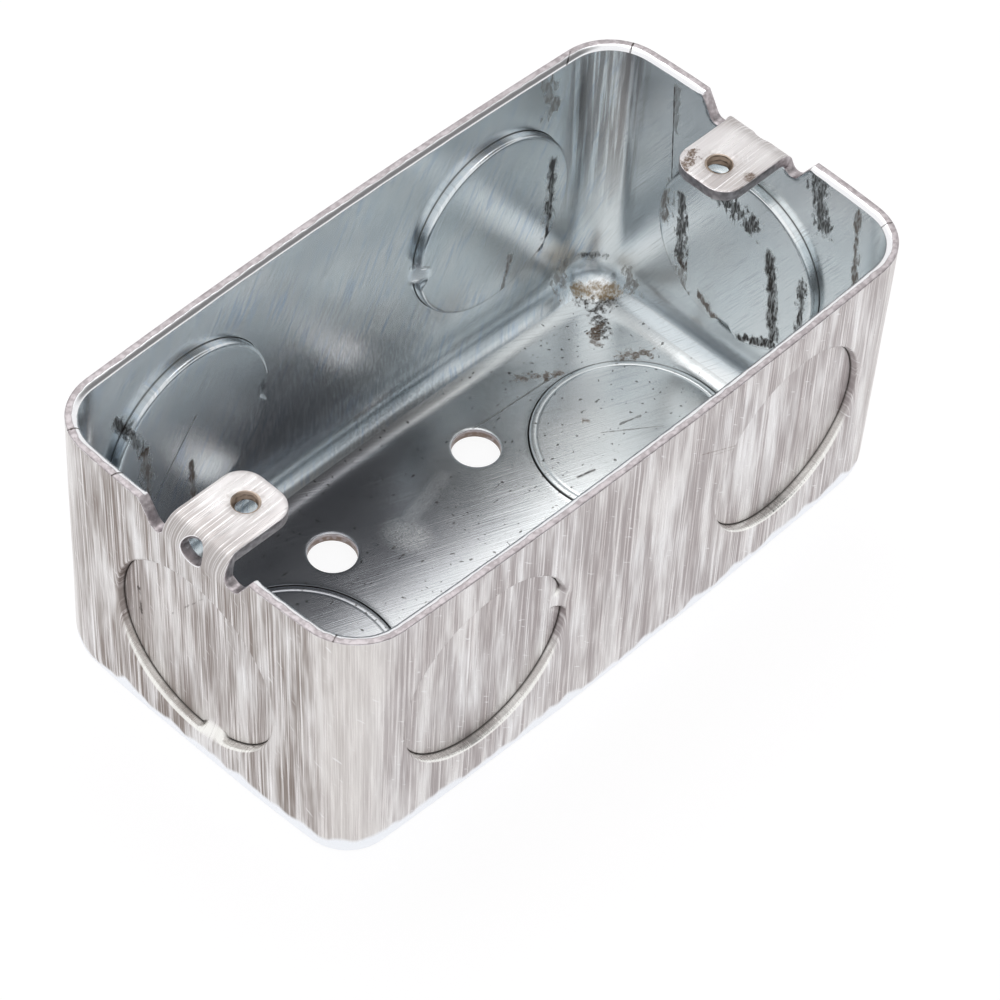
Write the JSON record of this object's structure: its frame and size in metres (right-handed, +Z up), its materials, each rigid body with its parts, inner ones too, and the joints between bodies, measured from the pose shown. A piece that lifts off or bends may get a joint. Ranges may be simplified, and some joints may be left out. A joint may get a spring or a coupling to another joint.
{
  "type": "switch box",
  "caption": "Deep drawn steel device box, open at the top, with folded tapped ears, floor screw holes and partly pushed-in round knockouts.",
  "frame": {"origin": "middle of the underside, where the flat bottom rests", "axes": "+X along the box towards one ear, +Y across it, +Z up towards the open rim"},
  "size_m": [0.1016, 0.0562, 0.045],
  "materials": {
    "zinc_steel": "zinc plated, drawn and scuffed"
  },
  "bodies": {
    "root": {"drawn_box": "zinc_steel"}
  },
  "joints": []
}
